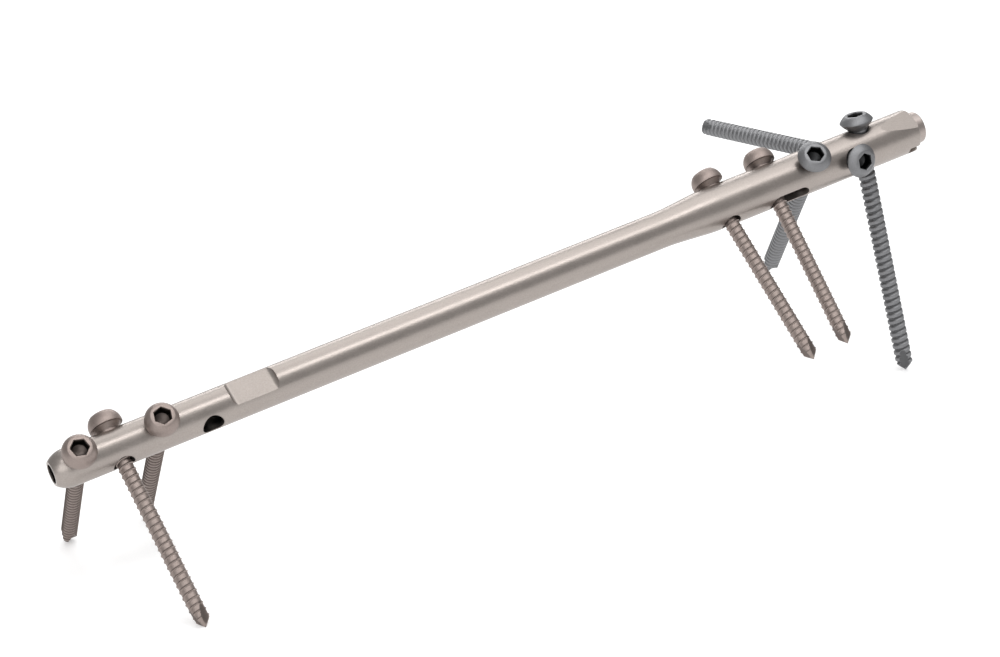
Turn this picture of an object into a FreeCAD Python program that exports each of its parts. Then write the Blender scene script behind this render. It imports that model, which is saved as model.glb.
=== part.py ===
"""Intramedullary nail with its locking screws and end cap, lying on three of its screw tips.

The nail's own frame has X along its axis from the distal tip to the proximal end, and angles run
round that axis from Y towards Z. Every screw is drawn along its own Z, from its tip at the origin
to its head, and is then set at its station. One last turn lays the whole set down to rest.
"""

import FreeCAD, Part
import itertools
import math
import os

import Sketcher
from FreeCAD import Placement, Rotation, Vector

SIZES = [
    ("nail_length", 300.0, "distal tip to proximal end face"),
    ("shaft_diameter", 11.5, "shaft"),
    ("head_diameter", 14.0, "thicker proximal stretch"),
    ("head_length", 79.0, "length of the thicker stretch"),
    ("taper_length", 15.0, "cone between the two diameters"),
    ("taper_blend", 60.0, "radius that softens both ends of the cone"),
    ("cannula_diameter", 5.8, "bore for the guide wire"),
    ("nose_face_diameter", 7.4, "flat ring round the distal mouth"),
    ("nose_length", 5.2, "rounded distal nose"),
    ("top_edge_radius", 1.2, "rounding of the proximal end"),
    ("bevel_length", 13.0, "flat bevel at the proximal end"),
    ("bevel_depth", 1.3, "bevel's depth at the end face"),
    ("bevel_angle", 258.0, "side of the nail that is bevelled"),
    ("keyway_length", 4.4, "notch that keys the insertion handle"),
    ("keyway_width", 3.2, "notch"),
    ("keyway_depth", 1.3, "notch"),
    ("socket_diameter", 8.2, "bore in the proximal end that takes the cap"),
    ("socket_depth", 12.5, "depth of that bore"),
    ("flat_start", 55.0, "milled flat, from the distal tip"),
    ("flat_length", 15.4, "milled flat"),
    ("flat_depth", 1.7, "milled flat"),
    ("flat_cutter_radius", 1.9, "run-out at both ends of the flat"),
    ("flat_angle", 260.0, "side of the nail that has the flat"),
    ("slot_travel", 8.0, "how far a screw can slide in the slot"),
    ("rim_chamfer", 0.25, "broken edge of every side hole"),
    ("hole_clearance", 0.4, "between a screw's neck and its hole, on the radius"),
    ("lock_diameter", 5.0, "locking screw, over the thread"),
    ("lock_length", 66.0, "locking screw, under the head"),
    ("lock_neck_diameter", 5.9, "plain neck under the head"),
    ("lock_neck_length", 6.0, "plain neck under the head"),
    ("lock_seat_diameter", 8.8, "wide end of the cone under the head"),
    ("lock_seat_height", 1.5, "cone under the head"),
    ("lock_head_diameter", 10.2, "button head"),
    ("lock_head_height", 4.1, "button head"),
    ("lock_crown_diameter", 7.0, "flat ring on top of the head"),
    ("lock_crown_radius", 4.4, "arc of the button"),
    ("lock_edge_height", 0.5, "upright edge of the button"),
    ("bone_diameter", 5.6, "cancellous bone screw, over the thread"),
    ("bone_length", 86.0, "cancellous bone screw, under the head"),
    ("bone_neck_diameter", 6.3, "plain neck under the head"),
    ("bone_neck_length", 6.5, "plain neck under the head"),
    ("bone_seat_diameter", 8.2, "wide end of the cone under the head"),
    ("bone_seat_height", 1.2, "cone under the head"),
    ("bone_head_diameter", 10.8, "cheese head"),
    ("bone_head_height", 3.6, "cheese head"),
    ("bone_crown_diameter", 6.8, "flat ring on top of the head"),
    ("bone_crown_radius", 7.0, "arc of the head"),
    ("bone_edge_height", 1.4, "height of the head's widest line"),
    ("hex_across_flats", 4.7, "socket in every head and in the cap"),
    ("hex_depth", 3.2, "socket"),
    ("drill_diameter", 4.4, "hole drilled before the socket is broached"),
    ("drill_cone", 1.2, "cone at the bottom of that hole"),
    ("point_length", 2.0, "drill point of every screw, up to its core"),
    ("point_core_ratio", 0.72, "core at the point, as a share of the thread's diameter"),
    ("lead_length", 0.9, "cone from the core to the thread's diameter"),
    ("flute_radius", 2.4, "cutting flute"),
    ("flute_offset", 2.75, "flute's centre from the screw's axis, at the point"),
    ("flute_lean", 14.0, "degrees that a flute leans out"),
    ("flute_height", 11.0, "length of the flute's cutter"),
    ("flute_count", 3, "flutes on each point"),
    ("cap_flange_diameter", 10.3, "end cap"),
    ("cap_flange_height", 3.1, "end cap"),
    ("cap_edge", 0.45, "rounded edge of the cap"),
    ("cap_undercut", 0.35, "dark seam under the cap's flange"),
    ("cap_shank_length", 9.5, "cap's threaded shank"),
    ("cap_clearance", 0.1, "between the shank and its bore, on the radius"),
]

# Each screw: kind, distance of its station from the nail's tip, or from its proximal end when
# negative, the side its point leaves on, its lean towards the proximal end, the gap between the
# nail's surface and the head, and its turn about its own axis.
SCREWS = {
    "distal_screw_1": ("lock", 8.0, 90.0, 0.0, 1.9, 44.0),
    "distal_screw_2": ("lock", 20.0, 0.0, 0.0, 1.2, 60.0),
    "distal_screw_3": ("lock", 33.5, 90.0, 0.0, 1.1, 16.0),
    "static_screw": ("lock", -73.2, 0.0, 0.0, 1.1, 60.0),
    "slot_screw": ("lock", -54.4, 0.0, -5.8, 1.1, 60.0),
    "sagittal_bone_screw": ("bone", -39.6, 90.0, 8.0, 1.2, 29.0),
    "oblique_bone_screw_1": ("bone", -26.4, 131.0, -4.0, 1.1, 28.0),
    "oblique_bone_screw_2": ("bone", -18.9, 40.0, 0.0, 1.1, 0.0),
}
SPARE_HOLE = ("lock", 48.0, -15.6, 0.0, 0.0)
# The side of the nail that ends up nearest the table, once it has rolled onto its screw tips.
DOWN_SIDE = 45.0


class Size:
    """A length that knows both its value and the formula that the document binds to."""

    def __init__(self, value, text):
        self.value = float(value)
        self.text = text

    def __add__(self, other):
        other = as_size(other)
        return Size(self.value + other.value, f"({self.text} + {other.text})")

    def __sub__(self, other):
        other = as_size(other)
        return Size(self.value - other.value, f"({self.text} - {other.text})")

    def __mul__(self, other):
        other = as_size(other)
        return Size(self.value * other.value, f"({self.text} * {other.text})")

    def __truediv__(self, other):
        other = as_size(other)
        return Size(self.value / other.value, f"({self.text} / {other.text})")

    def root(self):
        return Size(math.sqrt(self.value), f"sqrt({self.text})")

    def slope(self):
        """The tangent of this angle's size, in degrees."""
        return Size(math.tan(math.radians(abs(self.value))), f"tan(abs({self.text}))")


def as_size(number):
    return number if isinstance(number, Size) else Size(number, repr(float(number)))


def fill_sheet(document):
    """The driving dimensions, one row each, with an alias on the number's cell."""
    sheet = document.addObject("Spreadsheet::Sheet", "Sizes")
    rows = list(SIZES)
    for name, (_, station, side, lean, gap, turn) in SCREWS.items():
        rows += [
            (f"{name}_station", station, "from the tip, or from the end when negative"),
            (f"{name}_side", side, "side that the point leaves on, degrees"),
            (f"{name}_lean", lean, "towards the proximal end, degrees"),
            (f"{name}_gap", gap, "nail's surface to the head"),
            (f"{name}_turn", turn, "about its own axis, degrees"),
        ]
    rows += [
        ("spare_hole_station", SPARE_HOLE[1], "hole left without a screw"),
        ("spare_hole_side", SPARE_HOLE[2], "side that it opens on, degrees"),
        ("down_side", DOWN_SIDE, "side that faces the table, degrees"),
    ]
    for row, (alias, value, meaning) in enumerate(rows, start=1):
        sheet.set(f"A{row}", alias)
        sheet.set(f"B{row}", str(value))
        sheet.set(f"C{row}", meaning)
        sheet.setAlias(f"B{row}", alias)
    document.recompute()
    return sheet


document = FreeCAD.newDocument("IntramedullaryNail")
sheet = fill_sheet(document)


def size(alias):
    return Size(sheet.get(alias), f"Sizes.{alias}")


def number(alias):
    return float(sheet.get(alias))


def bind(thing, prop, length):
    thing.setExpression(prop, as_size(length).text)


def origin_feature(body, role):
    return next(f for f in body.Origin.OriginFeatures if f.Role == role)


def new_body(label):
    body = document.addObject("PartDesign::Body", label)
    body.Label = label
    return body


def sketch_on(body, name, role="XY_Plane", offset=None):
    sketch = body.newObject("Sketcher::SketchObject", name)
    sketch.AttachmentSupport = [(origin_feature(body, role), "")]
    sketch.MapMode = "FlatFace"
    if offset:
        sketch.AttachmentOffset = offset
    return sketch


def pin_point(sketch, edge, end, axis, length):
    """Ties one coordinate of a point to a size, or to the axis when the size is nought."""
    if abs(length.value) < 1e-9:
        other_axis = -2 if axis == "DistanceX" else -1
        sketch.addConstraint(Sketcher.Constraint("PointOnObject", edge, end, other_axis))
        return
    index = sketch.addConstraint(Sketcher.Constraint(axis, -1, 1, edge, end, length.value))
    sketch.setExpression(f"Constraints[{index}]", length.text)


def outline(sketch, corners):
    """A closed outline. A corner is (x, y), or (x, y, radius) where a bulging arc leaves it."""
    corners = [(as_size(c[0]), as_size(c[1]), *c[2:]) for c in corners]
    count = len(corners)
    for i, corner in enumerate(corners):
        following = corners[(i + 1) % count]
        start = Vector(corner[0].value, corner[1].value, 0)
        end = Vector(following[0].value, following[1].value, 0)
        if len(corner) > 2:
            sketch.addGeometry(bulging_arc(start, end, corner[2]))
        else:
            sketch.addGeometry(Part.LineSegment(start, end))
    for i, corner in enumerate(corners):
        before = (i - 1) % count
        sketch.addConstraint(Sketcher.Constraint(
            "Coincident", before, arc_end(corners[before], False), i, arc_end(corner, True)))
        pin_point(sketch, i, arc_end(corner, True), "DistanceX", corner[0])
        pin_point(sketch, i, arc_end(corner, True), "DistanceY", corner[1])
        if len(corner) > 2:
            radius = corner[2] if corner[2].value > 0 else corner[2] * -1
            index = sketch.addConstraint(Sketcher.Constraint("Radius", i, radius.value))
            sketch.setExpression(f"Constraints[{index}]", radius.text)


def bulging_arc(start, end, radius):
    """The short arc between two points, bulging to the left of the way it runs when positive."""
    chord = end - start
    left = Vector(-chord.y, chord.x, 0).normalize()
    reach = abs(radius.value)
    sag = reach - math.sqrt(reach ** 2 - (chord.Length / 2) ** 2)
    side = 1 if radius.value > 0 else -1
    return Part.Arc(start, (start + end) * 0.5 + left * (sag * side), end)


def arc_end(corner, first):
    """The sketcher keeps arcs anticlockwise, so one that bulges left has its ends swapped."""
    if len(corner) > 2 and corner[2].value > 0:
        return 2 if first else 1
    return 1 if first else 2


def revolve(body, sketch, axis):
    turned = body.newObject("PartDesign::Revolution", sketch.Name + "_turned")
    turned.Profile = sketch
    turned.ReferenceAxis = (sketch, [axis])
    turned.Angle = 360.0
    return turned


def cut_through(body, sketch, length):
    """A pocket that runs the same way on both sides of its sketch."""
    pocket = body.newObject("PartDesign::Pocket", sketch.Name + "_cut")
    pocket.Profile = sketch
    pocket.Type = "Length"
    pocket.Midplane = True
    bind(pocket, "Length", length)
    return pocket


def side_turn(angle):
    """Turns a sketch about the nail's axis, so that its Y points at that side."""
    return Placement(Vector(0, 0, 0), Rotation(Vector(1, 0, 0), angle))


def screw_way(side, lean):
    """The way a screw points, from head to tip."""
    side, lean = math.radians(side), math.radians(lean)
    return Vector(math.sin(lean), math.cos(lean) * math.cos(side), math.cos(lean) * math.sin(side))


def station(name):
    """A screw's station as a formula, counted from the distal tip."""
    place = size(f"{name}_station")
    return place if place.value >= 0 else size("nail_length") + place


def outer_radius(place):
    """The nail's radius at a station."""
    proximal = place.value > number("nail_length") - number("head_length")
    return size("head_diameter" if proximal else "shaft_diameter") / 2


def hole_radius(kind):
    return size(f"{kind}_neck_diameter") / 2 + size("hole_clearance")


def across(place, way):
    """A sketch plane through a point of the nail's axis, square to a screw's way."""
    along = Vector(1, 0, 0)
    turn = Rotation(along, way.cross(along), way, "ZXY")
    return Placement(Vector(place.value, 0, 0), turn)


def cross_hole(body, name, kind, place, way):
    sketch = sketch_on(body, f"{name}_hole", offset=across(place, way))
    bind(sketch, "AttachmentOffset.Base.x", place)
    radius = hole_radius(kind)
    sketch.addGeometry(Part.Circle(Vector(0, 0, 0), Vector(0, 0, 1), radius.value))
    sketch.addConstraint(Sketcher.Constraint("Coincident", 0, 3, -1, 1))
    index = sketch.addConstraint(Sketcher.Constraint("Radius", 0, radius.value))
    sketch.setExpression(f"Constraints[{index}]", radius.text)
    return cut_through(body, sketch, size("head_diameter") * 2)


def slot(body):
    """The long hole. Its screw leans at the distal end and can slide by slot_travel."""
    way = screw_way(number("slot_screw_side"), 0)
    lean_room = outer_radius(station("slot_screw")) * size("slot_screw_lean").slope()
    place = station("slot_screw") - lean_room
    sketch = sketch_on(body, "dynamic_slot", offset=across(place, way))
    bind(sketch, "AttachmentOffset.Base.x", place)
    radius = hole_radius("lock")
    near, far = as_size(0), size("slot_travel")
    half = Vector(0, radius.value, 0)
    near_point, far_point = Vector(near.value, 0, 0), Vector(far.value, 0, 0)
    sketch.addGeometry([
        Part.ArcOfCircle(Part.Circle(near_point, Vector(0, 0, 1), radius.value),
                         math.pi / 2, 3 * math.pi / 2),
        Part.LineSegment(near_point - half, far_point - half),
        Part.ArcOfCircle(Part.Circle(far_point, Vector(0, 0, 1), radius.value),
                         -math.pi / 2, math.pi / 2),
        Part.LineSegment(far_point + half, near_point + half),
    ])
    for edge, end, after, start in ((0, 2, 1, 1), (1, 2, 2, 1), (2, 2, 3, 1), (3, 2, 0, 1)):
        sketch.addConstraint(Sketcher.Constraint("Tangent", edge, end, after, start))
    pin_point(sketch, 0, 3, "DistanceX", near)
    sketch.addConstraint(Sketcher.Constraint("PointOnObject", 0, 3, -1))
    sketch.addConstraint(Sketcher.Constraint("PointOnObject", 2, 3, -1))
    pin_point(sketch, 2, 3, "DistanceX", far)
    index = sketch.addConstraint(Sketcher.Constraint("Radius", 0, radius.value))
    sketch.setExpression(f"Constraints[{index}]", radius.text)
    return cut_through(body, sketch, size("head_diameter") * 2)


def nail():
    body = new_body("nail")
    end = size("nail_length")
    shaft, head = size("shaft_diameter") / 2, size("head_diameter") / 2
    bore, socket = size("cannula_diameter") / 2, size("socket_diameter") / 2
    head_start = end - size("head_length")
    edge = size("top_edge_radius")
    socket_floor = end - size("socket_depth")
    profile = sketch_on(body, "profile")
    outline(profile, [
        (0, bore),
        (0, size("nose_face_diameter") / 2, nose_radius()),
        (size("nose_length"), shaft),
        *blended_taper(head_start, shaft, head),
        (end - edge, head, edge),
        (end, head - edge),
        (end, socket),
        (socket_floor, socket),
        (socket_floor - (socket - bore), bore),
    ])
    revolve(body, profile, "H_Axis")
    document.recompute()
    for name, (kind, *_) in SCREWS.items():
        if name == "slot_screw":
            slot(body)
        else:
            way = screw_way(number(f"{name}_side"), number(f"{name}_lean"))
            cross_hole(body, name, kind, station(name), way)
    way = screw_way(number("spare_hole_side"), 0)
    cross_hole(body, "spare", SPARE_HOLE[0], station("spare_hole"), way)
    mill_flat(body)
    bevel(body)
    keyway(body)
    break_rims(body)
    return body


def nose_radius():
    """The arc that runs from the end's flat ring and meets the shaft without a corner."""
    rise = (size("shaft_diameter") - size("nose_face_diameter")) / 2
    run = size("nose_length")
    return (run * run + rise * rise) / (rise * 2)


def blended_taper(head_start, shaft, head):
    """The cone, with an arc that meets both of its neighbours smoothly at each end."""
    run, rise = size("taper_length"), head - shaft
    slope = (run * run + rise * rise).root()
    blend = size("taper_blend")
    reach = blend * rise / (slope + run)
    along, up = reach * run / slope, reach * rise / slope
    foot = head_start - run
    return [
        (foot - reach, shaft, blend * -1),
        (foot + along, shaft + up),
        (head_start - along, head - up, blend),
        (head_start + reach, head),
    ]


def mill_flat(body):
    """A flat whose ends rise on the cutter's radius."""
    sketch = sketch_on(body, "milled_flat", offset=side_turn(number("flat_angle")))
    start = size("flat_start")
    finish = start + size("flat_length")
    floor = size("shaft_diameter") / 2 - size("flat_depth")
    cutter = size("flat_cutter_radius")
    outline(sketch, [
        (start, floor + cutter, cutter * -1),
        (start + cutter, floor),
        (finish - cutter, floor, cutter * -1),
        (finish, floor + cutter),
    ])
    cut_through(body, sketch, size("shaft_diameter") * 2)


def bevel(body):
    """A flat that slopes down to the end face. Its cutter overshoots a quarter at both ends."""
    sketch = sketch_on(body, "end_bevel", offset=side_turn(number("bevel_angle")))
    end = size("nail_length")
    length, depth = size("bevel_length"), size("bevel_depth")
    surface = size("head_diameter") / 2
    outline(sketch, [
        (end - length * 1.25, surface + depth * 0.25),
        (end + length * 0.25, surface - depth * 1.25),
        (end + length * 0.25, surface + depth),
        (end - length * 1.25, surface + depth),
    ])
    cut_through(body, sketch, size("head_diameter") * 2)


def keyway(body):
    sketch = sketch_on(body, "keyway")
    end = size("nail_length")
    surface = size("head_diameter") / 2
    depth = size("keyway_depth")
    outline(sketch, [
        (end - size("keyway_length"), surface - depth),
        (end + depth, surface - depth),
        (end + depth, surface + depth),
        (end - size("keyway_length"), surface + depth),
    ])
    cut_through(body, sketch, size("keyway_width"))


def on_rim(edge):
    """Whether an edge is where a side hole breaks out through the nail's round surface."""
    if isinstance(edge.Curve, (Part.Line, Part.Circle)):
        return False
    first, last = edge.ParameterRange
    points = [edge.valueAt(first + (last - first) * share) for share in (0.2, 0.5, 0.8)]
    radii = {round(math.hypot(point.y, point.z), 3) for point in points}
    surfaces = {round(number("shaft_diameter") / 2, 3), round(number("head_diameter") / 2, 3)}
    inside_end = all(point.x < number("nail_length") - number("bevel_length") for point in points)
    clear_of_flat = all(abs(point.x - number("flat_start") - number("flat_length") / 2)
                        > number("flat_length") / 2 for point in points)
    return radii <= surfaces and inside_end and clear_of_flat


def break_rims(body):
    document.recompute()
    base = body.Tip
    names = [f"Edge{i}" for i, edge in enumerate(base.Shape.Edges, start=1) if on_rim(edge)]
    chamfer = body.newObject("PartDesign::Chamfer", "broken_rims")
    chamfer.Base = (base, names)
    bind(chamfer, "Size", size("rim_chamfer"))
    document.recompute()


def socket_floor_height(top):
    return top - size("hex_depth")


def hex_socket(body, name, top):
    """The broached hexagon, from the top of the head down."""
    prism = body.newObject("PartDesign::SubtractivePrism", name)
    prism.Polygon = 6
    prism.AttachmentSupport = [(origin_feature(body, "XY_Plane"), "")]
    prism.MapMode = "FlatFace"
    prism.AttachmentOffset = Placement(Vector(0, 0, socket_floor_height(top).value), Rotation())
    bind(prism, "AttachmentOffset.Base.z", socket_floor_height(top))
    bind(prism, "Circumradius", size("hex_across_flats") / math.sqrt(3))
    bind(prism, "Height", size("hex_depth"))
    return prism


def screw(name, kind):
    body = new_body(name)
    length = size(f"{kind}_length")
    top = length + size(f"{kind}_head_height")
    thread = size(f"{kind}_diameter") / 2
    core = thread * size("point_core_ratio")
    neck = size(f"{kind}_neck_diameter") / 2
    neck_start = length - size(f"{kind}_neck_length")
    drill = size("drill_diameter") / 2
    drill_floor = socket_floor_height(top)
    profile = sketch_on(body, f"{name}_profile", "XZ_Plane")
    outline(profile, [
        (0, 0),
        (core, size("point_length")),
        (thread, size("point_length") + size("lead_length")),
        (thread, neck_start),
        (neck, neck_start),
        (neck, length - size(f"{kind}_seat_height")),
        (size(f"{kind}_seat_diameter") / 2, length),
        (size(f"{kind}_head_diameter") / 2, length) if kind == "lock"
        else (size("bone_seat_diameter") / 2 + size("rim_chamfer"), length),
        (size(f"{kind}_head_diameter") / 2, length + size(f"{kind}_edge_height"),
         size(f"{kind}_crown_radius") * -1),
        (size(f"{kind}_crown_diameter") / 2, top),
        (drill, top),
        (drill, drill_floor),
        (0, drill_floor - size("drill_cone")),
    ])
    revolve(body, profile, "V_Axis")
    document.recompute()
    hex_socket(body, f"{name}_socket", top)
    flutes(body, name)
    return body


def flutes(body, name):
    """Three cutting flutes round the point, each a round cutter that leans out as it rises."""
    cutter = body.newObject("PartDesign::SubtractiveCylinder", f"{name}_flute")
    cutter.AttachmentSupport = [(origin_feature(body, "XY_Plane"), "")]
    cutter.MapMode = "FlatFace"
    lean = Rotation(Vector(0, 1, 0), number("flute_lean"))
    cutter.AttachmentOffset = Placement(Vector(number("flute_offset"), 0, -1), lean)
    bind(cutter, "AttachmentOffset.Base.x", size("flute_offset"))
    bind(cutter, "Radius", size("flute_radius"))
    bind(cutter, "Height", size("flute_height"))
    document.recompute()
    pattern = body.newObject("PartDesign::PolarPattern", f"{name}_flutes")
    pattern.Originals = [cutter]
    pattern.Axis = (origin_feature(body, "Z_Axis"), [""])
    pattern.Angle = 360
    pattern.Occurrences = int(number("flute_count"))
    body.Tip = pattern
    document.recompute()


def end_cap():
    body = new_body("end_cap")
    shank_end = size("cap_shank_length")
    shank = size("socket_diameter") / 2 - size("cap_clearance")
    flange = size("cap_flange_diameter") / 2
    seam, edge = size("cap_undercut"), size("cap_edge")
    top = shank_end + size("cap_flange_height")
    drill = size("drill_diameter") / 2
    drill_floor = socket_floor_height(top)
    profile = sketch_on(body, "cap_profile", "XZ_Plane")
    outline(profile, [
        (0, 0),
        (shank - edge, 0),
        (shank, edge),
        (shank, shank_end),
        (flange - seam, shank_end),
        (flange - seam, shank_end + seam),
        (flange, shank_end + seam),
        (flange, top - edge, edge * -1),
        (flange - edge, top),
        (drill, top),
        (drill, drill_floor),
        (0, drill_floor - size("drill_cone")),
    ])
    revolve(body, profile, "V_Axis")
    document.recompute()
    hex_socket(body, "cap_socket", top)
    document.recompute()
    return body


def tip_reach(name, kind):
    """From the nail's axis to a screw's point, along the screw."""
    lean = math.radians(number(f"{name}_lean"))
    surface = outer_radius(station(name)).value / math.cos(lean)
    return number(f"{kind}_length") - surface - number(f"{name}_gap")


def screw_tip(name, kind):
    way = screw_way(number(f"{name}_side"), number(f"{name}_lean"))
    return Vector(station(name).value, 0, 0) + way * tip_reach(name, kind)


def screw_placement(name, kind):
    """Sets a screw's own Z against the way it points, and its X along the nail before its turn."""
    way = screw_way(number(f"{name}_side"), number(f"{name}_lean"))
    upright = Rotation(Vector(1, 0, 0), Vector(0, 0, 0), way * -1, "ZXY")
    turn = Rotation(Vector(0, 0, 1), number(f"{name}_turn"))
    return Placement(screw_tip(name, kind), upright * turn)


def inside(point, corners):
    """Whether a flat point lies in a triangle."""
    turns = []
    for a, b in zip(corners, corners[1:] + corners[:1]):
        turns.append((b[0] - a[0]) * (point[1] - a[1]) - (b[1] - a[1]) * (point[0] - a[0]))
    return all(t > 0 for t in turns) or all(t < 0 for t in turns)


def resting_way(tips, centre):
    """The way down once the set has rolled onto three screw tips, nearest to its down side."""
    wanted = screw_way(number("down_side"), 0)
    best = None
    for a, b, c in itertools.combinations(tips, 3):
        down = (b - a).cross(c - a).normalize()
        if down.dot(a - centre) < 0:
            down = down * -1
        if any(down.dot(tip - a) > 1e-6 for tip in tips):
            continue
        across_x = Vector(1, 0, 0) - down * down.x
        across_x.normalize()
        across_y = down.cross(across_x)
        flat = [(p.dot(across_x), p.dot(across_y)) for p in (a, b, c, centre)]
        if inside(flat[3], flat[:3]) and (best is None or down.dot(wanted) > best[0].dot(wanted)):
            best = (down, a)
    return best


def centre_of_mass(shapes):
    total = sum(shape.Volume for shape in shapes)
    moment = Vector(0, 0, 0)
    for shape in shapes:
        moment += shape.CenterOfMass * shape.Volume
    return moment * (1 / total)


def resting_placement(shapes):
    """Lays the set on the table: tips at Z = 0, nail along X and centred over the origin."""
    tips = [screw_tip(name, kind) for name, (kind, *_) in SCREWS.items()]
    down, support = resting_way(tips, centre_of_mass(shapes))
    along = Vector(1, 0, 0) - down * down.x
    turn = Rotation(along, Vector(0, 0, 0), down * -1, "ZXY").inverted()
    turned = [shape.transformed(Placement(Vector(), turn).toMatrix()) for shape in shapes]
    boxes = [shape.optimalBoundingBox() for shape in turned]
    middle_x = (min(b.XMin for b in boxes) + max(b.XMax for b in boxes)) / 2
    middle_y = (min(b.YMin for b in boxes) + max(b.YMax for b in boxes)) / 2
    table = turn.multVec(support).z
    return Placement(Vector(-middle_x, -middle_y, -table), turn)


def check(bodies):
    for thing in document.Objects:
        if "Invalid" in thing.State or "Error" in thing.State:
            raise SystemExit(f"{thing.Name} did not build")
    for body in bodies:
        if body.Shape.isNull() or not body.Shape.isValid() or len(body.Shape.Solids) != 1:
            raise SystemExit(f"{body.Label} is not one sound solid")


def main():
    made = {"nail": nail()}
    placements = {"nail": Placement()}
    for name, (kind, *_) in SCREWS.items():
        made[name] = screw(name, kind)
        placements[name] = screw_placement(name, kind)
    made["end_cap"] = end_cap()
    seat = number("nail_length") - number("cap_shank_length")
    placements["end_cap"] = Placement(Vector(seat, 0, 0), Rotation(Vector(0, 1, 0), 90))
    document.recompute()
    for name, body in made.items():
        body.Placement = placements[name]
    document.recompute()
    check(made.values())
    rest = resting_placement([body.Shape.Solids[0] for body in made.values()])
    for name, body in made.items():
        body.Placement = rest * placements[name]
    document.recompute()
    check(made.values())
    os.makedirs("parts", exist_ok=True)
    for name, body in made.items():
        solid = body.Shape.Solids[0]
        solid.exportStep(f"parts/{name}.step")
        box = solid.optimalBoundingBox()
        print(f"{name}: {solid.Volume:.1f} mm3, {box.XLength:.1f} x {box.YLength:.1f} x "
              f"{box.ZLength:.1f} mm")
    print("rest", rest)


main()
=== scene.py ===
# %% [markdown]
# # An intramedullary nail and its locking screws
#
# An intramedullary nail is a long hollow rod that surgeons pass down the middle of a broken shin
# bone. Screws driven through the bone and through the nail's cross holes lock the two together.
# This nail lies on three of its screw tips. The construction model gives the nail and its cap
# their shape, so this lesson turns the screws from blanks, cuts their threads with Geometry Nodes,
# and gives each metal its finish.

# %% Load the construction model
import math

import bmesh
import bpy
from mathutils import Matrix, Vector


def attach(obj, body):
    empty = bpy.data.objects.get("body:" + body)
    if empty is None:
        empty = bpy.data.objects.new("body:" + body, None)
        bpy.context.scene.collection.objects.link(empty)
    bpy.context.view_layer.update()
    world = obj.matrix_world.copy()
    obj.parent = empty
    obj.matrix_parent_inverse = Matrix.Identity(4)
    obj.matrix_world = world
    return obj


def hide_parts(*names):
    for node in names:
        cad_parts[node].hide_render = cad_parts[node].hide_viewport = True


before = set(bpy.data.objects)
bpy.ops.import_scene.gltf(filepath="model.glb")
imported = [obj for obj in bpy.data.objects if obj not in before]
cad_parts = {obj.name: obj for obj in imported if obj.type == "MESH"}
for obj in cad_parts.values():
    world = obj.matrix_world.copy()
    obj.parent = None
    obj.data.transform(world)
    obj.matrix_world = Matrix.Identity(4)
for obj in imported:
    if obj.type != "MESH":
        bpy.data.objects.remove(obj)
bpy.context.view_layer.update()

MM = 0.001

# %% [markdown]
# ## Where each screw sits
#
# Every screw is drawn upright on its own axis, with its tip at the origin and its head above, and
# is then moved to its place. A place names the kind of screw and has five numbers: how far along
# the nail the screw crosses it, the side its point leaves on, how far it leans towards the
# proximal end, the gap between the nail and the underside of the head, and the screw's turn about
# its own axis. Lengths are in millimetres and angles in degrees.

# %% The screws' places
NAIL_LENGTH = 300.0
SHAFT_RADIUS = 5.75
THICK_RADIUS = 7.0
THICK_LENGTH = 79.0

PLACES = {
    "distal_screw_1": ("lock", 8.0, 90.0, 0.0, 1.9, 44.0),
    "distal_screw_2": ("lock", 20.0, 0.0, 0.0, 1.2, 60.0),
    "distal_screw_3": ("lock", 33.5, 90.0, 0.0, 1.1, 16.0),
    "static_screw": ("lock", NAIL_LENGTH - 73.2, 0.0, 0.0, 1.1, 60.0),
    "slot_screw": ("lock", NAIL_LENGTH - 54.4, 0.0, -5.8, 1.1, 60.0),
    "sagittal_bone_screw": ("bone", NAIL_LENGTH - 39.6, 90.0, 8.0, 1.2, 29.0),
    "oblique_bone_screw_1": ("bone", NAIL_LENGTH - 26.4, 131.0, -4.0, 1.1, 28.0),
    "oblique_bone_screw_2": ("bone", NAIL_LENGTH - 18.9, 40.0, 0.0, 1.1, 0.0),
}
SCREW_LENGTH = {"lock": 66.0, "bone": 86.0}

# The nail rolls until its screws' tips carry it, and its proximal end then stands a little higher.
REST = (Matrix.Translation(Vector((-150.247517, -18.194228, 39.251706)) * MM)
        @ Matrix.Rotation(math.radians(-7.71449564), 4, "Y")
        @ Matrix.Rotation(math.radians(-134.21962729), 4, "X"))


def screw_way(side, lean):
    """The way a screw points, from head to tip, in the nail's own frame."""
    side, lean = math.radians(side), math.radians(lean)
    across = math.cos(lean)
    return Vector((math.sin(lean), across * math.cos(side), across * math.sin(side)))


def screw_matrix(place):
    """Takes a screw drawn on its own axis to where it crosses the nail."""
    kind, station, side, lean, gap, turn = place
    way = screw_way(side, lean)
    thick = station > NAIL_LENGTH - THICK_LENGTH
    radius = THICK_RADIUS if thick else SHAFT_RADIUS
    surface = radius / math.cos(math.radians(lean))
    tip = Vector((station, 0, 0)) + way * (SCREW_LENGTH[kind] - surface - gap)
    up = -way
    along = (Vector((1, 0, 0)) - up * up.x).normalized()
    across = up.cross(along)
    axes = Matrix((along, across, up)).transposed().to_4x4()
    spin = Matrix.Rotation(math.radians(turn), 4, "Z")
    return REST @ Matrix.Translation(tip * MM) @ axes @ spin


for name, place in PLACES.items():
    print(name, "tip at", [round(c / MM, 1) for c in screw_matrix(place).translation])

# %% [markdown]
# ## Turning a screw blank
#
# On the lathe a screw starts as a bar with a head turned on it, so its outline is one line from
# the point to the middle of the socket. Spinning that line gives every round surface at once. The
# broached hexagon isn't round, so a row of the outline may ask for the hexagon's own distance from
# the axis, which changes with the angle. The stretch that gets a thread stays open here, and the
# thread closes it later.

# %% Outline helpers
SEGMENTS = 72
HEX_ACROSS_FLATS = 4.7
SOCKET_DEPTH = 3.2
DRILL_RADIUS = 2.2
DRILL_CONE = 1.2


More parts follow.
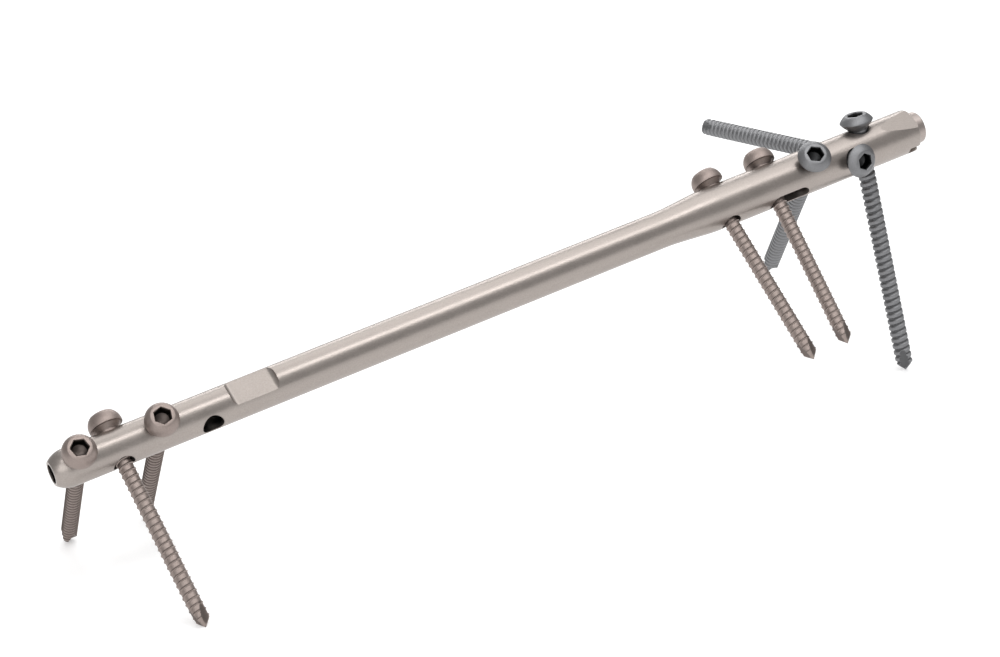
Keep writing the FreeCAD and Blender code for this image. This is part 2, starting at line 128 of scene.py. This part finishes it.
def arc_points(start, end, radius, count):
    """Points of a circular arc in the outline's plane, which bulges away from the axis."""
    start, end = Vector(start), Vector(end)
    chord = end - start
    outward = Vector((chord.y, -chord.x)).normalized()
    reach = math.sqrt(radius ** 2 - (chord.length / 2) ** 2)
    centre = (start + end) / 2 - outward * reach
    first = (start - centre).angle_signed(Vector((1, 0)))
    last = (end - centre).angle_signed(Vector((1, 0)))
    return [tuple(centre + Vector((math.cos(a), math.sin(a))) * radius)
            for a in (first + (last - first) * i / count for i in range(count + 1))]


def hexagon_reach(angle, across_flats):
    """Distance from the axis to a hexagon's side, at an angle from one of its corners."""
    from_corner = angle % (math.pi / 3)
    return across_flats / 2 / math.cos(from_corner - math.pi / 6)


def socket_rows(top):
    """The socket of a head: a broken edge, six flats, and the cone that the drill left."""
    return [
        (("hex", HEX_ACROSS_FLATS + 0.36), top),
        (("hex", HEX_ACROSS_FLATS + 0.04), top - 0.16),
        *((("hex", HEX_ACROSS_FLATS), top - depth) for depth in (0.24, 0.6, 1.0, 1.5, 3.15)),
        (("hex", HEX_ACROSS_FLATS - 0.05), top - SOCKET_DEPTH),
        (DRILL_RADIUS, top - SOCKET_DEPTH),
        (DRILL_RADIUS - 0.05, top - SOCKET_DEPTH - 0.06),
        (0.0, top - SOCKET_DEPTH - DRILL_CONE),
    ]


def spin_rows(mesh, rows):
    """Spins an outline of (radius, height) rows round Z. A radius of nought closes the end."""
    previous = None
    for radius, height in rows:
        if radius == 0.0:
            ring = [mesh.verts.new((0, 0, height * MM))]
        else:
            ring = []
            for i in range(SEGMENTS):
                angle = 2 * math.pi * i / SEGMENTS
                reach = hexagon_reach(angle, radius[1]) if isinstance(radius, tuple) else radius
                ring.append(mesh.verts.new((reach * math.cos(angle) * MM,
                                            reach * math.sin(angle) * MM, height * MM)))
        if previous:
            join_rings(mesh, previous, ring)
        previous = ring


def join_rings(mesh, low, high):
    """Joins two rings of points with faces. A ring of one point is the middle of an end."""
    for i in range(SEGMENTS):
        j = (i + 1) % SEGMENTS
        if len(low) == 1:
            mesh.faces.new((low[0], high[j], high[i]))
        elif len(high) == 1:
            mesh.faces.new((low[i], low[j], high[0]))
        else:
            mesh.faces.new((low[i], low[j], high[j], high[i]))


print("hexagon, corner to corner:", round(2 * hexagon_reach(0, HEX_ACROSS_FLATS), 2), "mm")

# %% [markdown]
# ## The two kinds of screw
#
# The brownish locking screws have a button head with a flat ring round the socket, and a cone
# under it that leads to a plain neck. The dark bone screws are thicker and longer, with a flatter
# head that is widest part of the way up. Each kind is one table of sizes and one outline. Core
# and thread are radii. The shares say how much of one turn the ridge takes up. The next two
# numbers place a painted shade line beside the ridge and give its width as a share of a turn, and
# the last says how much the painted shade in the socket is lifted on its drilled floor.

# %% Sizes of the two kinds
KINDS = {
    "lock": {"core": 2.2, "thread": 2.5, "pitch": 2.0, "neck_start": 60.0, "top": 70.1,
             "base_share": 0.28, "crest_share": 0.07,
             "shade_line": 0.62, "shade_line_share": 0.26, "floor_light": 0.45,
             "point": [(0.0, 0.0), (0.6, 0.67), (1.2, 1.33), (1.8, 2.0), (2.2, 2.52)]},
    "bone": {"core": 2.3, "thread": 2.8, "pitch": 2.2, "neck_start": 79.5, "top": 89.6,
             "base_share": 0.84, "crest_share": 0.42,
             "shade_line": 0.97, "shade_line_share": 0.34, "floor_light": 0.15,
             "point": [(0.0, 0.0), (0.67, 0.67), (1.33, 1.33), (2.0, 2.0), (2.3, 2.4)]},
}


def lock_head(length):
    """Neck, seat and button head of a locking screw, from the neck up."""
    top = KINDS["lock"]["top"]
    return [
        (2.62, 60.9), (2.95, 61.3), (2.95, length - 1.6), (2.98, length - 1.5),
        (4.33, length - 0.05), (4.4, length), (4.95, length), (5.06, length + 0.06),
        *arc_points((5.1, length + 0.5), (3.6, top - 0.06), 4.4, 14),
        (3.5, top),
        *socket_rows(top),
    ]


def bone_head(length):
    """Neck, seat and cheese head of a bone screw, from the neck up."""
    top = KINDS["bone"]["top"]
    return [
        (2.9, 80.4), (3.15, 80.8), (3.15, length - 1.3), (3.18, length - 1.2),
        (4.04, length - 0.06), (4.1, length), (4.3, length), (4.42, length + 0.06),
        (5.3, length + 1.25), (5.4, length + 1.4),
        *arc_points((5.38, length + 1.55), (3.55, top - 0.05), 7.0, 10),
        (3.4, top),
        *socket_rows(top),
    ]


def blank(name, kind):
    """A turned screw blank with its threaded stretch left out."""
    sizes = KINDS[kind]
    mesh = bmesh.new()
    spin_rows(mesh, sizes["point"])
    head = lock_head if kind == "lock" else bone_head
    spin_rows(mesh, [(sizes["core"], sizes["neck_start"]), *head(SCREW_LENGTH[kind])])
    bmesh.ops.recalc_face_normals(mesh, faces=mesh.faces)
    data = bpy.data.meshes.new(name)
    mesh.to_mesh(data)
    mesh.free()
    piece = bpy.data.objects.new(name, data)
    bpy.context.scene.collection.objects.link(piece)
    return piece


for kind, sizes in KINDS.items():
    print(kind, "screw:", sizes["top"], "mm long,", 2 * sizes["thread"], "mm over the thread")

# %% [markdown]
# ## Cutting the thread with Geometry Nodes
#
# A thread is a rule: its ridge climbs by one pitch each turn. The tree starts from a flat grid
# and rolls it up round the axis, with each column a little higher than the one before it. After
# one turn a column lands one pitch up, exactly on the grid's first column, so merging close
# points sews the helix together. Because whole rows of the grid climb with the ridge, its crest
# stays sharp with few faces. Three flutes are then cut into the point, as on a self-tapping screw,
# and the tree stores painted shade deep in the socket, in the flutes and as a dark line beside
# each ridge, which the metal reads later.

# %% A short way to write sums in a node tree
class Rule:
    """A value in a node tree. Sums with it add Math nodes."""

    def __init__(self, tree, socket):
        self.tree = tree
        self.socket = socket

    def math(self, operation, *others, clamp=False):
        node = self.tree.nodes.new("ShaderNodeMath")
        node.operation = operation
        node.use_clamp = clamp
        for place, value in enumerate((self, *others)):
            if isinstance(value, Rule):
                self.tree.links.new(value.socket, node.inputs[place])
            else:
                node.inputs[place].default_value = value
        return Rule(self.tree, node.outputs[0])

    def __add__(self, other):
        return self.math("ADD", other)

    def __sub__(self, other):
        return self.math("SUBTRACT", other)

    def __mul__(self, other):
        return self.math("MULTIPLY", other)

    def __truediv__(self, other):
        return self.math("DIVIDE", other)


def node_with(tree, kind, links=(), **settings):
    """Adds a node. Links name its input by place in the list or by name."""
    node = tree.nodes.new(kind)
    for key, value in settings.items():
        setattr(node, key, value)
    for place, value in links:
        if isinstance(value, Rule):
            tree.links.new(value.socket, node.inputs[place])
        elif isinstance(value, bpy.types.NodeSocket):
            tree.links.new(value, node.inputs[place])
        else:
            node.inputs[place].default_value = value
    return node


# %% The thread cutter's inputs
THREAD_INPUTS = [
    ("Start", "NodeSocketFloat"), ("End", "NodeSocketFloat"), ("Core", "NodeSocketFloat"),
    ("Outer", "NodeSocketFloat"), ("Pitch", "NodeSocketFloat"), ("Base share", "NodeSocketFloat"),
    ("Crest share", "NodeSocketFloat"), ("Lead", "NodeSocketFloat"), ("Turns", "NodeSocketInt"),
    ("Segments", "NodeSocketInt"), ("Rows a turn", "NodeSocketInt"),
    ("Flute radius", "NodeSocketFloat"), ("Flute offset", "NodeSocketFloat"),
    ("Flute lean", "NodeSocketFloat"), ("Top", "NodeSocketFloat"),
    ("Groove", "NodeSocketFloat"), ("Groove share", "NodeSocketFloat"),
    ("Floor light", "NodeSocketFloat"), ("Metal", "NodeSocketMaterial"),
]

thread_tree = bpy.data.node_groups.new("cut_thread", "GeometryNodeTree")
thread_tree.is_modifier = True
face = thread_tree.interface
face.new_socket("Blank", in_out="INPUT", socket_type="NodeSocketGeometry")
for label, socket_type in THREAD_INPUTS:
    face.new_socket(label, in_out="INPUT", socket_type=socket_type)
face.new_socket("Screw", in_out="OUTPUT", socket_type="NodeSocketGeometry")
given = thread_tree.nodes.new("NodeGroupInput")
result = thread_tree.nodes.new("NodeGroupOutput")


def given_rule(label):
    return Rule(thread_tree, given.outputs[label])


print("thread cutter inputs:", ", ".join(label for label, _ in THREAD_INPUTS))

# %% Roll the grid up into a helix
rows_total = given_rule("Turns") * given_rule("Rows a turn")
grid = node_with(thread_tree, "GeometryNodeMeshGrid", [
    ("Size X", 1.0), ("Size Y", 1.0),
    ("Vertices X", given_rule("Segments") + 1), ("Vertices Y", rows_total + 1)])
flat = node_with(thread_tree, "ShaderNodeSeparateXYZ", [
    (0, node_with(thread_tree, "GeometryNodeInputPosition").outputs[0])])
column = ((Rule(thread_tree, flat.outputs[0]) + 0.5) * given_rule("Segments")).math("ROUND")
row = ((Rule(thread_tree, flat.outputs[1]) + 0.5) * rows_total).math("ROUND")
turn_share = column / given_rule("Segments")
climb = (row / given_rule("Rows a turn") + turn_share - 1.0) * given_rule("Pitch")
height = (given_rule("Start") + climb).math("MAXIMUM", given_rule("Start"))
height = height.math("MINIMUM", given_rule("End"))
angle = turn_share * (2 * math.pi)
print("nodes that roll the grid:", len(thread_tree.nodes))

# %% Shape the ridge and cut it back at both ends
LEAD = 0.6
RUN_OUT_SHARE = 0.6
SEAM = 0.002 * MM

phase = row.math("FLOORED_MODULO", given_rule("Rows a turn")) / given_rule("Rows a turn")
from_middle = (phase - 0.5).math("ABSOLUTE")
half_base = given_rule("Base share") * 0.5
half_crest = given_rule("Crest share") * 0.5
ridge = ((half_base - from_middle) / (half_base - half_crest)).math("ADD", 0.0, clamp=True)
run_in = ((height - given_rule("Start")) / given_rule("Lead")).math("ADD", 0.0, clamp=True)
run_out = (given_rule("End") - height) / (given_rule("Pitch") * RUN_OUT_SHARE)
run_out = run_out.math("ADD", 0.0, clamp=True)
depth = given_rule("Outer") - given_rule("Core")
radius = given_rule("Core") + ridge * depth * run_in * run_out
rolled = node_with(thread_tree, "ShaderNodeCombineXYZ", [
    (0, radius * angle.math("COSINE")), (1, radius * angle.math("SINE")), (2, height)])
helix = node_with(thread_tree, "GeometryNodeSetPosition", [
    ("Geometry", grid.outputs["Mesh"]), ("Position", rolled.outputs[0])])
joined = node_with(thread_tree, "GeometryNodeJoinGeometry", [(0, helix.outputs[0])])
thread_tree.links.new(given.outputs["Blank"], joined.inputs[0])
sewn = node_with(thread_tree, "GeometryNodeMergeByDistance", [
    ("Geometry", joined.outputs[0]), ("Distance", SEAM)])
print("the ridge falls back over", LEAD, "mm at the point, nodes:", len(thread_tree.nodes))

# %% Cut the flutes
FLUTE_COUNT = 3
CUTTER_START = 1.0 * MM
FLUTES_END = 20.0 * MM
NEAR_AXIS = 1e-5
THINNEST_CORE = 0.1 * MM

spot = node_with(thread_tree, "ShaderNodeSeparateXYZ", [
    (0, node_with(thread_tree, "GeometryNodeInputPosition").outputs[0])])
x, y, z = (Rule(thread_tree, spot.outputs[i]) for i in range(3))
reach = (x * x + y * y).math("SQRT")
sector = 2 * math.pi / FLUTE_COUNT
swing = (y.math("ARCTAN2", x) + sector / 2).math("FLOORED_MODULO", sector) - sector / 2
cutter = given_rule("Flute offset") + (z + CUTTER_START) * given_rule("Flute lean").math("TANGENT")
sideways = cutter * swing.math("SINE")
inside_cutter = given_rule("Flute radius") * given_rule("Flute radius") - sideways * sideways
wall = cutter * swing.math("COSINE") - inside_cutter.math("MAXIMUM", 0.0).math("SQRT")
is_cut = inside_cutter.math("GREATER_THAN", 0.0) * wall.math("LESS_THAN", reach)
is_cut = is_cut * z.math("LESS_THAN", FLUTES_END) * reach.math("GREATER_THAN", NEAR_AXIS)
share = wall.math("MAXIMUM", THINNEST_CORE) / reach.math("MAXIMUM", NEAR_AXIS / 10)
fluted_spot = node_with(thread_tree, "ShaderNodeCombineXYZ", [
    (0, x * share), (1, y * share), (2, z)])
marked = node_with(thread_tree, "GeometryNodeStoreNamedAttribute", [
    ("Geometry", sewn.outputs[0]), ("Name", "flute"), ("Value", is_cut)],
    data_type="FLOAT", domain="POINT")
fluted = node_with(thread_tree, "GeometryNodeSetPosition", [
    ("Geometry", marked.outputs[0]), ("Selection", is_cut), ("Position", fluted_spot.outputs[0])])
print("nodes up to the flutes:", len(thread_tree.nodes))

# %% Paint shade deep in the socket, in the flutes and beside each ridge of the thread
# Painted shade: a socket darkens with depth and a little less on its drilled floor, the flutes are
# darker, and a dark line runs beside each ridge of the thread.
DARK_DEPTH = 1.2 * MM
SOCKET_REACH = 3.0 * MM
SOCKET_END = 4.6 * MM
FLOOR_DEPTH = 3.22 * MM
GROOVE_SHADE, FLUTE_SHADE = 0.75, 0.5

deep = ((given_rule("Top") - z) / DARK_DEPTH).math("ADD", 0.0, clamp=True)
in_socket = reach.math("LESS_THAN", SOCKET_REACH)
in_socket = in_socket * z.math("GREATER_THAN", given_rule("Top") - SOCKET_END)
along_turn = (z - given_rule("Start")) / given_rule("Pitch") - y.math("ARCTAN2", x) / (2 * math.pi)
from_shade_line = ((along_turn - given_rule("Groove") + 0.5).math("FRACT") - 0.5).math("ABSOLUTE")
shade_line = (from_shade_line / given_rule("Groove share") * -2.0 + 1.0).math("ADD", 0.0, clamp=True)
threaded = z.math("GREATER_THAN", given_rule("Start")) * z.math("LESS_THAN", given_rule("End"))
flute = Rule(thread_tree, node_with(thread_tree, "GeometryNodeInputNamedAttribute", [
    ("Name", "flute")], data_type="FLOAT").outputs["Attribute"])
# Painted shade of the dark line beside each ridge and of the flute scoops.
painted_thread_and_flute_shade = shade_line * threaded * (flute * -1.0 + 1.0) * GROOVE_SHADE + flute * FLUTE_SHADE
drilled_floor = z.math("LESS_THAN", given_rule("Top") - FLOOR_DEPTH)
lit_floor = drilled_floor * given_rule("Floor light")
shaded = (deep * in_socket * (lit_floor * -1.0 + 1.0)).math("MAXIMUM", painted_thread_and_flute_shade)
noted = node_with(thread_tree, "GeometryNodeStoreNamedAttribute", [
    ("Geometry", fluted.outputs[0]), ("Name", "shade"), ("Value", shaded)],
    data_type="FLOAT", domain="POINT")
print("a socket is darkest from", DARK_DEPTH / MM, "mm down")

# %% Keep crisp edges crisp, and finish the tree
CREASE = math.radians(32)

edge_angle = node_with(thread_tree, "GeometryNodeInputMeshEdgeAngle")
crisp = Rule(thread_tree, edge_angle.outputs["Unsigned Angle"]).math("GREATER_THAN", CREASE)
smooth = node_with(thread_tree, "GeometryNodeSetShadeSmooth", [
    ("Geometry", noted.outputs[0]), ("Shade Smooth", True)])
sharp = node_with(thread_tree, "GeometryNodeSetShadeSmooth", [
    ("Geometry", smooth.outputs[0]), ("Selection", crisp), ("Shade Smooth", False)], domain="EDGE")
real = node_with(thread_tree, "GeometryNodeRealizeInstances", [(0, sharp.outputs[0])])
coated = node_with(thread_tree, "GeometryNodeSetMaterial", [
    ("Geometry", real.outputs[0]), ("Material", given.outputs["Metal"])])
thread_tree.links.new(coated.outputs[0], result.inputs[0])
print("thread cutter nodes:", len(thread_tree.nodes))

# %% [markdown]
# ## Blasted and anodised metal
#
# The implants are titanium, blasted to a satin finish, so the surface is a fine speckle with no
# grain direction. One shader group makes the speckle from noise at two sizes: a fine one for the
# blasting and a broad one for slight unevenness of the colour. Every metal uses it with its own
# numbers, and the shader itself stays in each material.

# %% The speckle group
PATCHES_A_METRE = 130.0
BROAD_ROUGHNESS, FINE_ROUGHNESS = 0.12, 0.1

speckle = bpy.data.node_groups.new("blasted_speckle", "ShaderNodeTree")
for label, socket_type, default in [
        ("Colour", "NodeSocketColor", (0.5, 0.5, 0.5, 1)), ("Roughness", "NodeSocketFloat", 0.35),
        ("Speckle", "NodeSocketFloat", 0.15), ("Grains a metre", "NodeSocketFloat", 4000.0),
        ("Unevenness", "NodeSocketFloat", 0.1)]:
    socket = speckle.interface.new_socket(label, in_out="INPUT", socket_type=socket_type)
    socket.default_value = default
for label, socket_type in [("Colour", "NodeSocketColor"), ("Roughness", "NodeSocketFloat"),
                           ("Height", "NodeSocketFloat")]:
    speckle.interface.new_socket(label, in_out="OUTPUT", socket_type=socket_type)

inner = speckle.nodes.new("NodeGroupInput")
outer = speckle.nodes.new("NodeGroupOutput")
where = node_with(speckle, "ShaderNodeTexCoord").outputs["Object"]
fine = node_with(speckle, "ShaderNodeTexNoise", [
    ("Vector", where), ("Scale", inner.outputs["Grains a metre"]), ("Detail", 2.0)])
broad = node_with(speckle, "ShaderNodeTexNoise", [
    ("Vector", where), ("Scale", PATCHES_A_METRE), ("Detail", 3.0)])
fine_rule = Rule(speckle, fine.outputs[0]) - 0.5
broad_rule = Rule(speckle, broad.outputs[0]) - 0.5
shade = (fine_rule * Rule(speckle, inner.outputs["Speckle"])
         + broad_rule * Rule(speckle, inner.outputs["Unevenness"])) + 1.0
tinted = node_with(speckle, "ShaderNodeVectorMath", [
    (0, inner.outputs["Colour"])], operation="SCALE")
speckle.links.new(shade.socket, tinted.inputs["Scale"])
rough = Rule(speckle, inner.outputs["Roughness"])
rough = rough + broad_rule * BROAD_ROUGHNESS + fine_rule * FINE_ROUGHNESS
speckle.links.new(tinted.outputs[0], outer.inputs["Colour"])
speckle.links.new(rough.socket, outer.inputs["Roughness"])
speckle.links.new(fine.outputs[0], outer.inputs["Height"])
print("speckle group nodes:", len(speckle.nodes))

# %% [markdown]
# ### Dark hollows
#
# Light enters a narrow bore and hardly comes out again, so a real nail's openings look nearly
# black. In a white room a satin shader alone leaves them too light. So a second group finds the
# hollows: it measures how far a spot lies from the nail's axis and whether the surface there faces
# away from that axis, as an outside face does. The screws' sockets have their own axes, so their
# metals read the depth that the thread cutter noted.

# %% The hollow mask
HOLLOW_INPUTS = ("Start", "Fade", "Low end", "High end", "Mouth")
FACING_CONTRAST = 3.0

hollow = bpy.data.node_groups.new("hollow_mask", "ShaderNodeTree")
for label in HOLLOW_INPUTS:
    hollow.interface.new_socket(label, in_out="INPUT", socket_type="NodeSocketFloat")
hollow.interface.new_socket("Shade", in_out="OUTPUT", socket_type="NodeSocketFloat")
hollow_given = hollow.nodes.new("NodeGroupInput")
hollow_result = hollow.nodes.new("NodeGroupOutput")


def vector_math(tree, operation, first, second):
    return node_with(tree, "ShaderNodeVectorMath", [(0, first), (1, second)], operation=operation)


def hollow_rule(label):
    return Rule(hollow, hollow_given.outputs[label])


nail_way = tuple(REST.to_3x3() @ Vector((1, 0, 0)))
spot_on = node_with(hollow, "ShaderNodeTexCoord").outputs["Object"]
from_tip = vector_math(hollow, "SUBTRACT", spot_on, tuple(REST.translation))
along_dot = vector_math(hollow, "DOT_PRODUCT", from_tip.outputs[0], nail_way)
along_nail = Rule(hollow, along_dot.outputs["Value"])
along_part = node_with(hollow, "ShaderNodeVectorMath", [
    (0, nail_way), ("Scale", along_nail)], operation="SCALE")
off_axis = vector_math(hollow, "SUBTRACT", from_tip.outputs[0], along_part.outputs[0])
distance = Rule(hollow, node_with(hollow, "ShaderNodeVectorMath", [(0, off_axis.outputs[0])],
                                  operation="LENGTH").outputs["Value"])
facing = vector_math(hollow, "DOT_PRODUCT", off_axis.outputs[0],
                     node_with(hollow, "ShaderNodeNewGeometry").outputs["Normal"])
outward = Rule(hollow, facing.outputs["Value"]) / distance * FACING_CONTRAST
outward = outward.math("ADD", 0.0, clamp=True)
shade_rule = ((hollow_rule("Start") - distance) / hollow_rule("Fade")).math("ADD", 0.0, clamp=True)
for room in (along_nail - hollow_rule("Low end"), hollow_rule("High end") - along_nail):
    shade_rule = shade_rule * (room / hollow_rule("Mouth")).math("ADD", 0.0, clamp=True)
shade_rule = shade_rule * (outward * -1.0 + 1.0)
hollow.links.new(shade_rule.socket, hollow_result.inputs["Shade"])
print("hollow mask nodes:", len(hollow.nodes))

# %% One material for each finish
# How far the painted shade darkens a metal's colour.
HOLLOW_DARKNESS = 0.93
GRAIN_HEIGHT = 0.1 * MM


def shade_source(tree, bore):
    """The painted shade of a metal's hollows: from the nail's axis, or as noted on a screw's
    points.
    """
    if bore is None:
        return node_with(tree, "ShaderNodeAttribute", attribute_name="shade").outputs["Fac"]
    group = tree.nodes.new("ShaderNodeGroup")
    group.node_tree = hollow
    for label, value in zip(HOLLOW_INPUTS, bore):
        group.inputs[label].default_value = value * MM
    return group.outputs["Shade"]


def metal(name, colour, roughness, bore=None,
          grains=2300.0, grain=0.34, unevenness=0.12, bump=0.06):
    """A blasted metal, with the speckle group feeding one Principled shader."""
    material = bpy.data.materials.new(name)
    material.use_nodes = True
    tree = material.node_tree
    shader = tree.nodes["Principled BSDF"]
    group = tree.nodes.new("ShaderNodeGroup")
    group.node_tree = speckle
    group.inputs["Colour"].default_value = (*colour, 1)
    group.inputs["Roughness"].default_value = roughness
    group.inputs["Speckle"].default_value = grain
    group.inputs["Grains a metre"].default_value = grains
    group.inputs["Unevenness"].default_value = unevenness
    relief = node_with(tree, "ShaderNodeBump", [
        ("Strength", bump), ("Distance", GRAIN_HEIGHT), ("Height", group.outputs["Height"])])
    shader.inputs["Metallic"].default_value = 1.0
    # Painted shade: the colour is darkened in the bores, sockets, flutes and beside the thread's
    # ridges.
    lit = Rule(tree, shade_source(tree, bore)) * -HOLLOW_DARKNESS + 1.0
    darkened = node_with(tree, "ShaderNodeVectorMath", [
        (0, group.outputs["Colour"]), ("Scale", lit)], operation="SCALE")
    tree.links.new(darkened.outputs[0], shader.inputs["Base Color"])
    tree.links.new(group.outputs["Roughness"], shader.inputs["Roughness"])
    tree.links.new(relief.outputs[0], shader.inputs["Normal"])
    return material


METALS = {
    "nail": metal("nail_satin_titanium", (0.36, 0.322, 0.298), 0.36,
                  bore=(5.6, 1.8, 0.05, 299.9, 0.6)),
    "cap": metal("cap_anodised_titanium", (0.40, 0.35, 0.327), 0.42,
                 bore=(4.2, 1.0, 290.0, 303.1, 1.0)),
    "lock": metal("bronze_anodised_titanium", (0.315, 0.262, 0.240), 0.50),
    "bone": metal("dark_anodised_titanium", (0.225, 0.226, 0.233), 0.50),
}
print("finishes:", ", ".join(material.name for material in METALS.values()))


# %% Give the nail and its cap their finish
def finish_node(node, material):
    """Puts one material on a construction node, whose own mesh is left as it is."""
    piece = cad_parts[node]
    if not piece.material_slots:
        piece.data.materials.append(material)
    for slot in piece.material_slots:
        slot.material = material
    print(node, "is finished in", material.name)


finish_node("nail", METALS["nail"])
finish_node("end_cap", METALS["cap"])

# %% [markdown]
# ## Making the eight screws
#
# Each screw is a blank with the thread cutter on it as a modifier. Its inputs are set by their
# identifiers before Blender works the modifier out. The result is then turned into a plain mesh,
# moved to its place, and rides with the model in the stead of its construction node.

# %% Cut, place and register one screw
INPUT_IDS = {item.name: item.identifier for item in thread_tree.interface.items_tree
             if item.in_out == "INPUT"}
ROWS_A_TURN = 14
FLUTE_RADIUS, FLUTE_OFFSET, FLUTE_LEAN = 2.4, 2.75, 14


def thread_settings(kind):
    sizes = KINDS[kind]
    start = sizes["point"][-1][1]
    stretch = sizes["neck_start"] - start
    return {
        "Start": start * MM, "End": sizes["neck_start"] * MM, "Core": sizes["core"] * MM,
        "Outer": sizes["thread"] * MM, "Pitch": sizes["pitch"] * MM,
        "Base share": sizes["base_share"], "Crest share": sizes["crest_share"],
        "Lead": LEAD * MM, "Turns": math.ceil(stretch / sizes["pitch"]) + 1,
        "Segments": SEGMENTS, "Rows a turn": ROWS_A_TURN, "Flute radius": FLUTE_RADIUS * MM,
        "Flute offset": FLUTE_OFFSET * MM, "Flute lean": math.radians(FLUTE_LEAN),
        "Top": sizes["top"] * MM, "Groove": sizes["shade_line"], "Groove share": sizes["shade_line_share"],
        "Floor light": sizes["floor_light"],
        "Metal": METALS[kind],
    }


def make_screw(node, place):
    piece = blank(node + "_threaded", place[0])
    cutter = piece.modifiers.new("thread", "NODES")
    cutter.node_group = thread_tree
    for label, value in thread_settings(place[0]).items():
        cutter[INPUT_IDS[label]] = value
    graph = bpy.context.evaluated_depsgraph_get()
    cut = bpy.data.meshes.new_from_object(piece.evaluated_get(graph))
    piece.modifiers.clear()
    piece.data = cut
    cut.transform(screw_matrix(place))
    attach(piece, "root")
    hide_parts(node)
    return piece


screws = {node: make_screw(node, place) for node, place in PLACES.items()}


def open_edges(piece):
    check = bmesh.new()
    check.from_mesh(piece.data)
    count = sum(not edge.is_manifold for edge in check.edges)
    volume = check.calc_volume(signed=True)
    check.free()
    return count, volume / MM ** 3


for node, piece in screws.items():
    count, volume = open_edges(piece)
    print(node, "triangles:", sum(len(p.vertices) - 2 for p in piece.data.polygons),
          "open edges:", count, "volume mm3:", round(volume, 1))

# %% [markdown]
# ## The table and the light
#
# The parts lie on a plain white table. Four soft lamps make the long highlights that show a
# satin cylinder's shape. The table and the world are pale for the camera and for reflections, so
# the picture has a white background without brighter lamps.


# %% A white table that keeps its shadow
TABLE_SIDE = 8.0
TABLE_LIFT = 0.38


def white_table():
    bpy.ops.mesh.primitive_plane_add(size=TABLE_SIDE, location=(0, 0, 0))
    table = bpy.context.object
    table.name = "table"
    material = bpy.data.materials.new("table_white")
    material.use_nodes = True
    tree = material.node_tree
    shader = tree.nodes["Principled BSDF"]
    shader.inputs["Base Color"].default_value = (0.82, 0.82, 0.82, 1)
    shader.inputs["Roughness"].default_value = 1.0
    shader.inputs["Specular IOR Level"].default_value = 0.0
    rays = tree.nodes.new("ShaderNodeLightPath")
    glossy = Rule(tree, rays.outputs["Is Glossy Ray"])
    seen = Rule(tree, rays.outputs["Is Camera Ray"]).math("MAXIMUM", glossy)
    lift = seen * TABLE_LIFT
    shader.inputs["Emission Color"].default_value = (1, 1, 1, 1)
    tree.links.new(lift.socket, shader.inputs["Emission Strength"])
    table.data.materials.append(material)
    print("table side:", TABLE_SIDE, "m")


white_table()


# %% A world that is white where it is seen
MIRRORED_WORLD = 0.48
LIT_WORLD = 0.35


def pale_world():
    world = bpy.data.worlds.new("studio")
    bpy.context.scene.world = world
    world.use_nodes = True
    tree = world.node_tree
    background = tree.nodes["Background"]
    background.inputs["Color"].default_value = (1, 1, 1, 1)
    rays = tree.nodes.new("ShaderNodeLightPath")
    seen = Rule(tree, rays.outputs["Is Camera Ray"])
    shiny = Rule(tree, rays.outputs["Is Glossy Ray"]) * MIRRORED_WORLD
    strength = seen.math("MAXIMUM", shiny).math("MAXIMUM", LIT_WORLD)
    tree.links.new(strength.socket, background.inputs["Strength"])
    print("the world lights with", LIT_WORLD, "and mirrors with", MIRRORED_WORLD)


pale_world()


# %% Four soft lamps
def soft_lamp(name, place, aim, size, power):
    lamp = bpy.data.lights.new(name, "AREA")
    lamp.shape = "RECTANGLE"
    lamp.size, lamp.size_y = size
    lamp.energy = power
    body = bpy.data.objects.new(name, lamp)
    body.location = place
    body.rotation_euler = (Vector(aim) - Vector(place)).to_track_quat("-Z", "Y").to_euler()
    bpy.context.scene.collection.objects.link(body)
    print(name, "shines", power, "W")


soft_lamp("top_softbox", (0.30, 0.12, 0.95), (0.1, 0, 0.04), (1.5, 0.6), 4.2)
soft_lamp("key_strip", (-0.09, -0.36, 0.92), (0, 0, 0.04), (1.0, 0.18), 3.2)
soft_lamp("front_softbox", (-0.75, -0.85, 0.55), (0, 0, 0.05), (1.0, 0.9), 4.7)
soft_lamp("back_strip", (0.35, 0.9, 0.55), (0, 0, 0.05), (1.0, 0.25), 3.0)

# %% [markdown]
# ## The camera
#
# The photograph shows the two ends from a little above, with the distal end near and low on the
# left and the proximal end far and high on the right. One camera takes in the whole nail that
# way. Its long lens keeps the far end nearly as large as the near one, as in the two close-ups.

# %% Place the camera
PICTURE_WIDTH = 1000
FOCAL_PIXELS = 2600.0


def place_camera(azimuth, elevation, roll, target, distance):
    azimuth, elevation, roll = (math.radians(v) for v in (azimuth, elevation, roll))
    back = Vector((math.sin(azimuth) * math.cos(elevation),
                   -math.cos(azimuth) * math.cos(elevation), math.sin(elevation)))
    level = Vector((math.cos(azimuth), math.sin(azimuth), 0))
    upright = back.cross(level)
    right = level * math.cos(roll) + upright * math.sin(roll)
    up = upright * math.cos(roll) - level * math.sin(roll)
    lens = bpy.data.cameras.new("camera")
    lens.sensor_width = 36.0
    lens.lens = lens.sensor_width * FOCAL_PIXELS / PICTURE_WIDTH
    lens.clip_start = 0.01
    camera = bpy.data.objects.new("camera", lens)
    axes = Matrix((right, up, back)).transposed().to_4x4()
    camera.matrix_world = Matrix.Translation(Vector(target) + back * distance) @ axes
    bpy.context.scene.collection.objects.link(camera)
    bpy.context.scene.camera = camera
    print("lens", round(lens.lens, 1), "mm, distance", distance, "m")


place_camera(azimuth=-26, elevation=20, roll=-5, target=(-0.0060, -0.0180, 0.0480), distance=0.790)
bpy.context.scene.view_settings.view_transform = "Standard"
